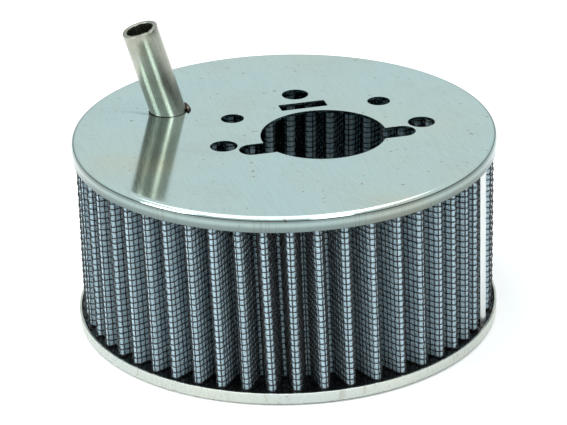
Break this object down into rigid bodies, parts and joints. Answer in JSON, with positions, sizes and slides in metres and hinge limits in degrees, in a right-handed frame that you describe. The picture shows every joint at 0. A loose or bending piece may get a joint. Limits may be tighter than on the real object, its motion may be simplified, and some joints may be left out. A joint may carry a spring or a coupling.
{
  "type": "pancake air filter",
  "caption": "Round pleated gauze air filter: drilled steel mounting plate with a leaning breather pipe, screened pleat pack and shallow base tray.",
  "frame": {"origin": "centre of the base tray's underside", "axes": "+Z along the filter's axis towards the drilled mounting plate, +X along the carburettor bolt line, +Y towards the top hole"},
  "size_m": [0.15, 0.15, 0.1028],
  "materials": {
    "polished_stainless": "sheet stainless, lightly polished, mirror-like at a low angle",
    "pressed_steel": "pressed sheet, bright satin",
    "drawn_steel_tube": "drawn tube, bright with long draw lines",
    "weld_metal": "as welded, oxidised brown",
    "strip_aluminium": "folded mill-finish strip",
    "coated_wire": "woven wire, black epoxy coat",
    "cotton_gauze": "open-weave cotton, pale",
    "potting": "cast polyurethane, glossy black"
  },
  "bodies": {
    "root": {"base_tray": "pressed_steel", "bottom_potting": "potting", "outer_screen": "coated_wire", "gauze_ply_1": "cotton_gauze", "gauze_ply_2": "cotton_gauze", "gauze_ply_3": "cotton_gauze", "gauze_ply_4": "cotton_gauze", "inner_screen": "coated_wire", "seam_strip": "strip_aluminium", "top_potting": "potting", "mounting_plate": "polished_stainless", "breather_pipe": "drawn_steel_tube", "pipe_weld": "weld_metal", "pipe_tack_weld": "weld_metal"}
  },
  "joints": []
}
